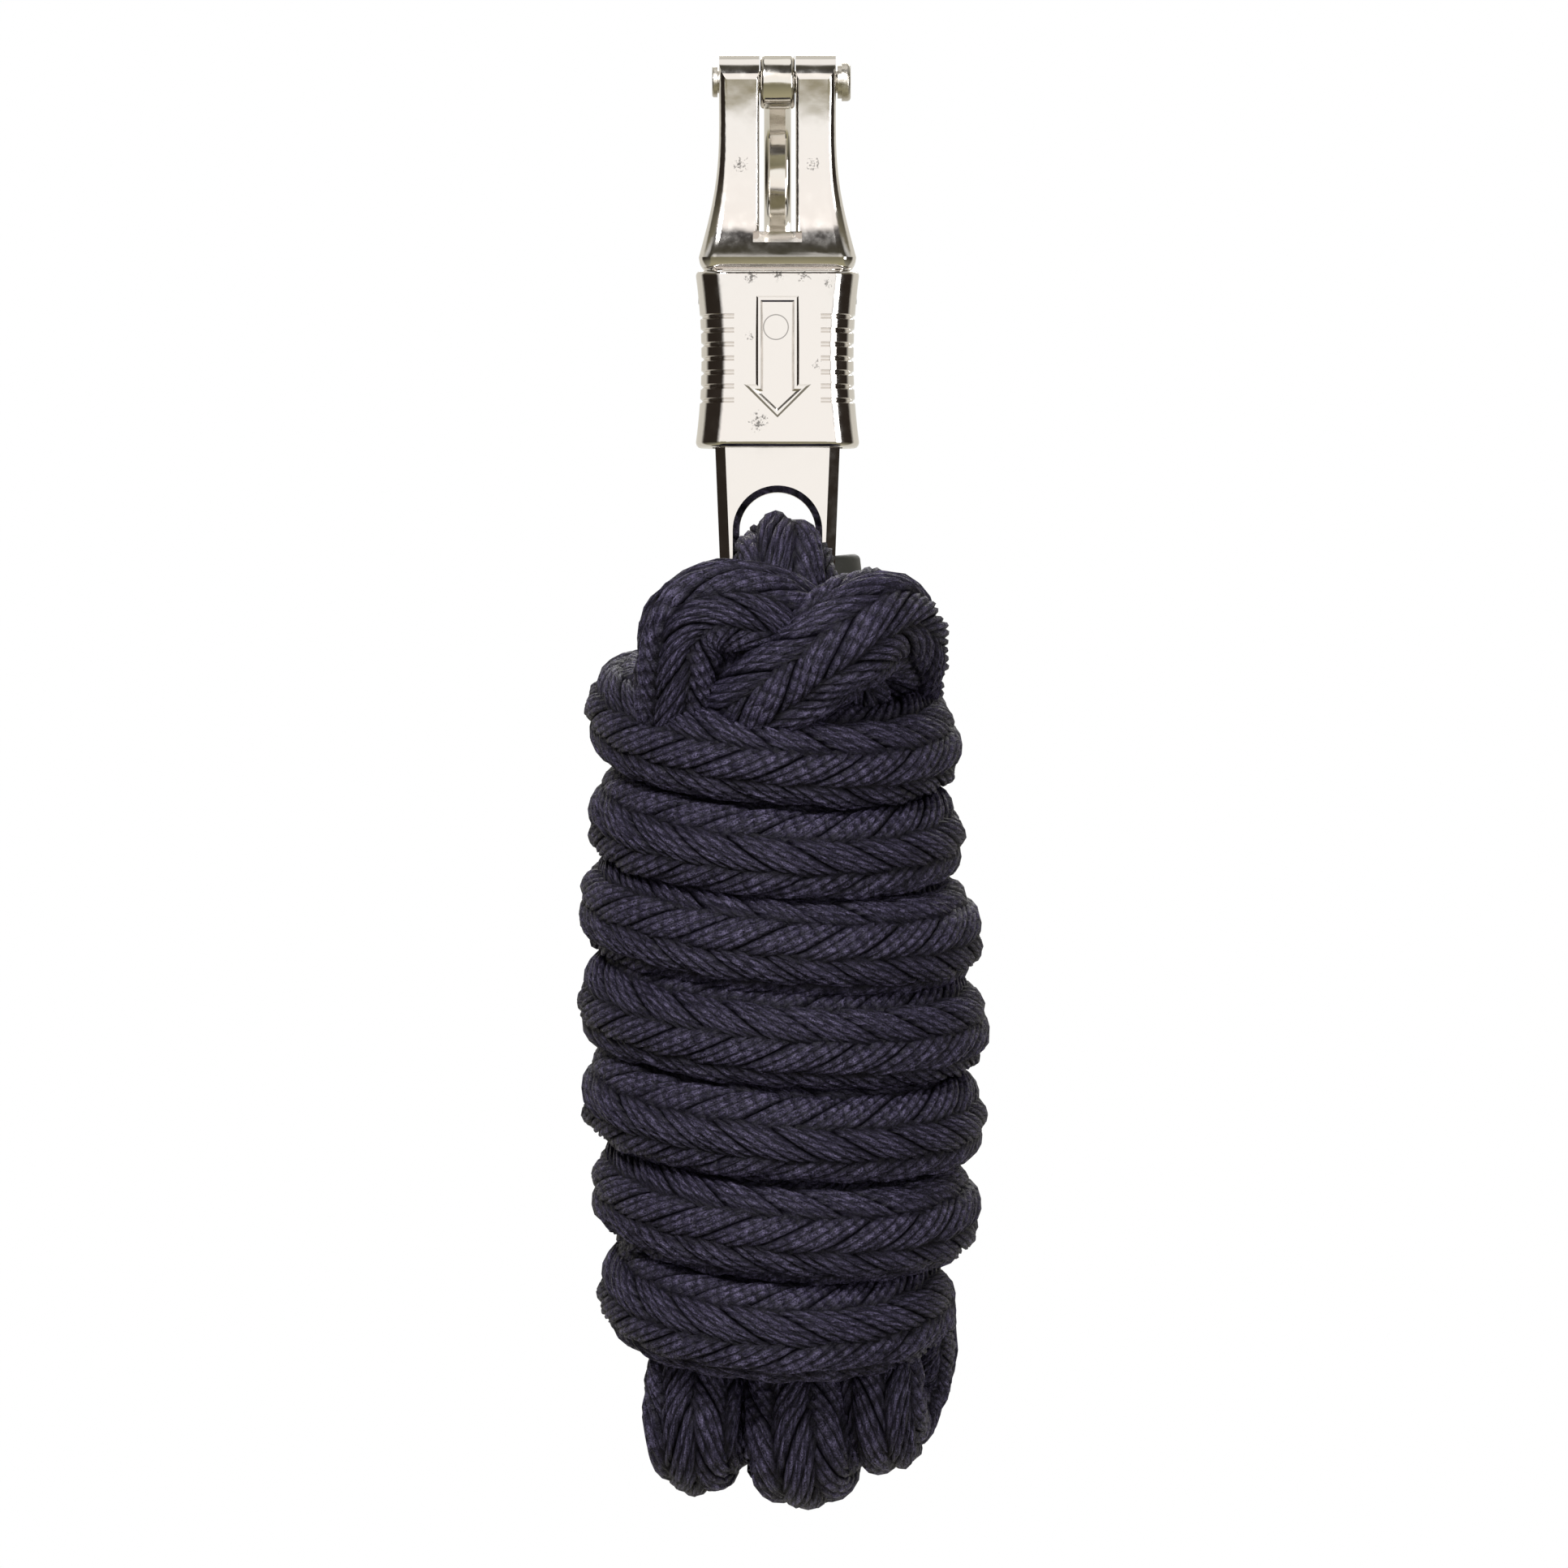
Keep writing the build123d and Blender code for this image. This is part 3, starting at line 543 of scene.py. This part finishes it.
def rope_material():
    """Navy filament yarn: plied strokes along each yarn, fine fibres, a faint shine, and painted shade in
    the crevices.
    """
    material, tree, shader = blank_material("rope_yarn", Specular_IOR_Level=0.16)
    yarn = add(tree, "UVMap")
    yarn.uv_map = "yarn"
    split = add(tree, "SeparateXYZ", _0=yarn.outputs[0])
    along, across = split.outputs[0], split.outputs[1]
    # plies run slantwise over each yarn, so their place is sheared before it is stretched
    slanted = math(tree, "MULTIPLY_ADD", across, 1.1, along)
    sheared = add(tree, "CombineXYZ", _0=slanted, _1=across).outputs[0]
    broad = add(tree, "Mapping", Vector=sheared, Scale=(0.60, 1.6, 1)).outputs[0]
    fine = add(tree, "Mapping", Vector=sheared, Scale=(0.9, 6.0, 1)).outputs[0]
    ply = noise(tree, broad, 1.0, 3.0, 0.6, 0.7)
    strand = noise(tree, fine, 1.0, 2.0, 0.6, 0.4)
    millimetres = object_place(tree, IN_MM)
    wavering = math(tree, "MULTIPLY_ADD", ply, 1.1, across)
    turns = math(tree, "MULTIPLY_ADD", along, 0.42, wavering)
    from_ply_middle = math(tree, "ABSOLUTE", math(tree, "SUBTRACT", math(tree, "FRACT", turns), 0.5))
    twist = ramp(tree, from_ply_middle, (0.10, 1.0), (0.5, 0.0))
    fuzz = noise(tree, millimetres, 3.2, 3.0, 0.65)
    patch = noise(tree, millimetres, 0.12, 2.0)
    # painted shade in the crevices: between yarns, between the plies, along a carrier's edges and where it
    # dives under the others
    groove = math(tree, "ABSOLUTE", math(tree, "SUBTRACT", math(tree, "FRACT", across), 0.5))
    weave = add(tree, "UVMap")
    weave.uv_map = "weave"
    place = add(tree, "SeparateXYZ", _0=weave.outputs[0])
    edge = math(tree, "ABSOLUTE", math(tree, "SUBTRACT", place.outputs[0], 0.5))
    free_of_painted_shade = math(tree, "MULTIPLY", ramp(tree, edge, (0.34, 1.0), (0.49, 0.08)),
                         ramp(tree, place.outputs[1], (0.45, 0.03), (0.80, 1.0)))
    free_of_painted_shade = math(tree, "MULTIPLY", free_of_painted_shade, ramp(tree, groove, (0.28, 1.0), (0.48, 0.15)))
    free_of_painted_shade = math(tree, "MULTIPLY", free_of_painted_shade, ramp(tree, twist, (0.0, 0.35), (0.6, 1.0)))
    # dark is the yarn's darker tone, and also the painted shade in the crevices
    dark = mixed(tree, ramp(tree, patch, (0.35, 0.0), (0.65, 1.0)),
                 (0.0022, 0.0018, 0.0045), (0.0040, 0.0032, 0.0075))
    bright = mixed(tree, ramp(tree, ply, (0.35, 0.0), (0.65, 1.0)),
                   (0.022, 0.018, 0.040), (0.130, 0.112, 0.196))
    speck = ramp(tree, math(tree, "MULTIPLY_ADD", fuzz, 0.7, math(tree, "MULTIPLY", strand, 0.35)),
                 (0.42, 0.0), (0.64, 1.0))
    tree.links.new(mixed(tree, math(tree, "MULTIPLY", speck, free_of_painted_shade), dark, bright),
                   shader.inputs["Base Color"])
    tree.links.new(ramp(tree, fuzz, (0.3, 0.70), (0.7, 0.38)), shader.inputs["Roughness"])
    bump(tree, shader, (twist, 0.0004, 0.9), (ply, 0.0003, 0.8), (strand, 0.0002, 0.9),
         (fuzz, 0.00014, 0.9))
    return material


PATCH_FADE = 0.30           # how fast the rough patches thin out towards their radius
GRIME = (0.20, 0.19, 0.18)


def plated(name, colour, gloss, ripple, worn=(), rings=()):
    """Plated die casting with ripples and a worn haze.

    The rough patches in worn and the grimy rings are given as (x, y, z, radius) in millimetres.
    """
    material, tree, shader = blank_material(name, Metallic=1.0, Specular_IOR_Level=0.5)
    shader.inputs["Base Color"].default_value = (*colour, 1)
    place = object_place(tree, IN_MM)
    swell = noise(tree, place, 0.14, 1.0, 0.4)
    peel = noise(tree, place, 0.55, 1.0, 0.4)
    grain = noise(tree, place, 5.5, 2.0, 0.6)
    haze = ramp(tree, noise(tree, place, 0.35, 3.0, 0.6), (0.35, gloss), (0.75, gloss + 0.10))
    tree.links.new(haze, shader.inputs["Roughness"])
    relief = [(swell, 0.00012 * ripple, 0.5), (peel, 0.000010 * ripple, 0.4)]
    if worn:
        speckle = noise(tree, place, 2.0, 3.0, 0.6)
        sound = 1.0
        for x, y, z, radius in worn:
            away = away_from(tree, place, (x, y, z))
            level = math(tree, "MULTIPLY_ADD", away, PATCH_FADE / radius, speckle)
            sound = math(tree, "MINIMUM", sound, ramp(tree, level, (0.48, 0.0), (0.62, 1.0)))
        dirt = math(tree, "SUBTRACT", 1.0, sound)
        for x, y, z, radius in rings:
            away = away_from(tree, place, (x, y, z))
            off_ring = math(tree, "ABSOLUTE", math(tree, "SUBTRACT", away, radius))
            dirt = math(tree, "MAXIMUM", dirt, ramp(tree, off_ring, (0.05, 0.8), (0.15, 0.0)))
        tree.links.new(mixed(tree, dirt, colour, GRIME), shader.inputs["Base Color"])
        relief.append((sound, 0.000004, 0.8))
    bump(tree, shader, *relief, (grain, 0.000004, 0.4))
    return material


def turned_steel():
    """The rivet, pin and washer: bright steel with fine rings from turning and a dull film."""
    material, tree, shader = blank_material("turned_steel", Metallic=1.0)
    place = object_place(tree, (9000, 1200, 1200))
    rings = noise(tree, place, 1.0, 2.0, 0.6)
    film = noise(tree, object_place(tree, IN_MM), 0.9, 3.0, 0.6)
    tree.links.new(mixed(tree, film, (0.42, 0.39, 0.34), (0.72, 0.69, 0.63)), shader.inputs["Base Color"])
    tree.links.new(ramp(tree, film, (0.3, 0.20), (0.7, 0.42)), shader.inputs["Roughness"])
    bump(tree, shader, (rings, 0.00006, 0.6), (film, 0.00008, 0.5))
    return material


def spring_wire():
    """Drawn spring wire: dark, streaked along its draw, with a film of oil."""
    material, tree, shader = blank_material(
        "spring_wire", Metallic=1.0, Coat_Weight=0.2, Coat_Roughness=0.3)
    streak = noise(tree, object_place(tree, (1500, 1500, 6000)), 1.0, 3.0, 0.6)
    tree.links.new(mixed(tree, streak, (0.16, 0.15, 0.14), (0.38, 0.36, 0.33)), shader.inputs["Base Color"])
    tree.links.new(ramp(tree, streak, (0.3, 0.28), (0.7, 0.5)), shader.inputs["Roughness"])
    bump(tree, shader, (streak, 0.00005, 0.6))
    return material


def cap_plastic():
    """The tail's cap: matt olive-black plastic with a fine moulded grain, lint and rub marks."""
    material, tree, shader = blank_material("cap_plastic", Specular_IOR_Level=0.35, Sheen_Weight=0.05)
    place = object_place(tree, IN_MM)
    grain = noise(tree, place, 4.0, 3.0, 0.6)
    cloud = noise(tree, place, 0.22, 3.0, 0.55)
    hair = ramp(tree, noise(tree, place, 0.42, 0.0, 0.5, 1.6), (0.494, 0.0), (0.5, 1.0), (0.506, 0.0))
    base = mixed(tree, ramp(tree, cloud, (0.3, 0.0), (0.7, 1.0)),
                 (0.034, 0.034, 0.029), (0.050, 0.050, 0.042))
    linty = mixed(tree, math(tree, "MULTIPLY", hair, 0.35), base, (0.13, 0.12, 0.10))
    tree.links.new(linty, shader.inputs["Base Color"])
    tree.links.new(ramp(tree, cloud, (0.3, 0.50), (0.7, 0.68)), shader.inputs["Roughness"])
    bump(tree, shader, (cloud, 0.0004, 0.4), (grain, 0.00005, 0.6))
    return material


PRONG_PATCHES = ((-7.2, -14.3, 1.6, 2.4), (7.0, -14.3, 1.6, 2.2))
SLEEVE_PATCHES = (
    (9.6, -18.6, -21.6, 1.5), (5, -18.8, -19.9, 1.8), (0, -18.8, -19.7, 1.8), (-5, -18.8, -19.9, 2.0),
    (-5.2, -18.6, -31.5, 1.2), (7.4, -18.6, -37.0, 1.3), (-3.6, -18.7, -47.7, 2.8),
)
EJECTOR_RINGS = ((-0.3, -18.6, -29.7, 2.38),)
FINISHES = {
    "snap_body": plated("nickel_body", (0.76, 0.73, 0.70), 0.07, 2.0, PRONG_PATCHES),
    "release_sleeve": plated("nickel_sleeve", (0.76, 0.73, 0.70), 0.06, 1.2, SLEEVE_PATCHES, EJECTOR_RINGS),
    "hook_arm": plated("nickel_hook", (0.74, 0.71, 0.66), 0.08, 5.0),
    "eye_ferrule": plated("nickel_ferrule", (0.66, 0.63, 0.57), 0.14, 0.6),
    "hinge_rivet": turned_steel(),
    "rivet_washer": turned_steel(),
    "sleeve_cross_pin": turned_steel(),
    "sleeve_spring": spring_wire(),
    "rope_end_cap": cap_plastic(),
}
for name, finish in FINISHES.items():
    mesh = frame["nodes"][name].data
    mesh.materials.clear()
    mesh.materials.append(finish)

# ---------------------------------------------------------------- pieces on their bodies
rope.data.materials.append(rope_material())
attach(rope, "snap")
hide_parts("rope_eye_loop", "rope_hank", "rope_tail")

# the spring is copied as a piece of its own on the snap, with its own mesh; the real spring is shortened by
# the sleeve's travel when the sleeve is pulled down
return_spring = bpy.data.objects.new("return_spring", frame["nodes"]["sleeve_spring"].data.copy())
bpy.context.scene.collection.objects.link(return_spring)
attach(return_spring, "snap")
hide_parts("sleeve_spring")
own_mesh(return_spring)


# ---------------------------------------------------------------- stage, light and camera
ROOM_LIGHT = 1.2            # what the metal mirrors
AMBIENT_LIGHT = 0.22        # what cloth and plastic get from all round
FLOOR_R = 0.42
FLOOR_Z = -0.30
FLOOR_SIDES = 64
LIGHT_AIM = (0, 0, -0.12)
SENSOR_WIDTH = 36
CAMERA_DISTANCE = 2.4
VIEW_WIDTH = 0.3014         # what the picture spans at the snap's mid plane
VIEW_CENTRE = (0.00125, -0.1172)


def world():
    """White to the camera, and a studio with dark ends for the metal to mirror."""
    scene_world = bpy.data.worlds.new("studio")
    bpy.context.scene.world = scene_world
    scene_world.use_nodes = True
    tree = scene_world.node_tree
    seen = tree.nodes["Background"]
    seen.inputs["Color"].default_value = (1, 1, 1, 1)
    seen.inputs["Strength"].default_value = 1.0
    way = add(tree, "TexCoord")
    split = add(tree, "SeparateXYZ", _0=way.outputs["Generated"])
    side, depth, height = split.outputs
    # a white card in front with olive below and dark above, dark walls beside, a pale room behind
    rise = math(tree, "MULTIPLY_ADD", height, 0.5, 0.5)
    card = ramp(
        tree, rise, (0.0, (0.40, 0.37, 0.24)), (0.36, (0.20, 0.185, 0.12)), (0.425, (0.34, 0.31, 0.22)),
        (0.455, (1.0, 0.99, 0.97)), (0.75, (1.0, 0.95, 0.91)), (0.79, (0.03, 0.026, 0.026)),
        (0.96, (0.06, 0.055, 0.04)), (0.985, (0.95, 0.93, 0.90)),
    )
    walls = ramp(
        tree, rise, (0.0, (0.36, 0.34, 0.30)), (0.22, (0.16, 0.15, 0.11)),
        (0.42, (0.022, 0.017, 0.013)), (0.60, (0.026, 0.020, 0.016)), (0.80, (0.17, 0.155, 0.11)),
        (0.95, (0.9, 0.9, 0.9)),
    )
    beside = ramp(tree, math(tree, "ABSOLUTE", side), (0.50, 0.0), (0.66, 1.0))
    behind = ramp(tree, math(tree, "MULTIPLY_ADD", depth, 0.5, 0.5), (0.60, 0.0), (0.72, 1.0))
    front_half = mixed(tree, beside, card, walls)
    whole = mixed(tree, behind, front_half, (0.62, 0.60, 0.54))
    room = add(tree, "Background", Color=whole, Strength=ROOM_LIGHT)
    ambient = add(tree, "Background", Color=(0.97, 0.98, 1.0, 1), Strength=AMBIENT_LIGHT)
    rays = add(tree, "LightPath")
    to_cloth, to_camera = rays.outputs["Is Diffuse Ray"], rays.outputs["Is Camera Ray"]
    lit = add(tree, "MixShader", _0=to_cloth, _1=room.outputs[0], _2=ambient.outputs[0])
    shown = add(tree, "MixShader", _0=to_camera, _1=lit.outputs[0], _2=seen.outputs[0])
    tree.links.new(shown.outputs[0], tree.nodes["World Output"].inputs[0])


def soft_light(name, place, size, power):
    """An area light at a place in metres, pointing at the object."""
    data = bpy.data.lights.new(name, "AREA")
    data.shape = "RECTANGLE"
    data.size, data.size_y = size
    data.energy = power
    holder = bpy.data.objects.new(name, data)
    holder.location = place
    holder.rotation_euler = (Vector(LIGHT_AIM) - Vector(place)).to_track_quat("-Z", "Y").to_euler()
    bpy.context.scene.collection.objects.link(holder)


def floor():
    """A pale round floor under the object."""
    angles = np.linspace(0, 2 * pi, FLOOR_SIDES, endpoint=False)
    verts = [(FLOOR_R * cos(angle), FLOOR_R * sin(angle), FLOOR_Z) for angle in angles]
    mesh = bpy.data.meshes.new("floor")
    mesh.from_pydata(verts, [], [range(FLOOR_SIDES)])
    material, tree, shader = blank_material("floor", Roughness=0.75, Specular_IOR_Level=0.2)
    grain = noise(tree, object_place(tree, (60, 60, 60)), 1.0, 2.0)
    tree.links.new(mixed(tree, grain, (0.84, 0.84, 0.84), (0.88, 0.88, 0.88)), shader.inputs["Base Color"])
    mesh.materials.append(material)
    piece = bpy.data.objects.new("floor", mesh)
    piece.visible_glossy = False            # the metal mirrors the room's olive low end instead
    bpy.context.scene.collection.objects.link(piece)


def camera():
    """A long lens straight in front, level with the middle of the object."""
    data = bpy.data.cameras.new("camera")
    data.sensor_width = SENSOR_WIDTH
    data.lens = SENSOR_WIDTH * CAMERA_DISTANCE / VIEW_WIDTH
    data.clip_start = 0.05
    holder = bpy.data.objects.new("camera", data)
    holder.location = (VIEW_CENTRE[0], MID_Y * MM - CAMERA_DISTANCE, VIEW_CENTRE[1])
    holder.rotation_euler = (pi / 2, 0, 0)
    bpy.context.scene.collection.objects.link(holder)
    bpy.context.scene.camera = holder


world()
floor()
soft_light("key", (-0.30, -0.80, 0.55), (0.30, 0.30), 14.0)
soft_light("fill", (0.75, -0.75, 0.0), (0.3, 0.8), 4.0)
soft_light("rim", (0.1, 0.9, 0.5), (0.8, 0.5), 6.0)
camera()
bpy.context.scene.view_settings.view_transform = "Standard"
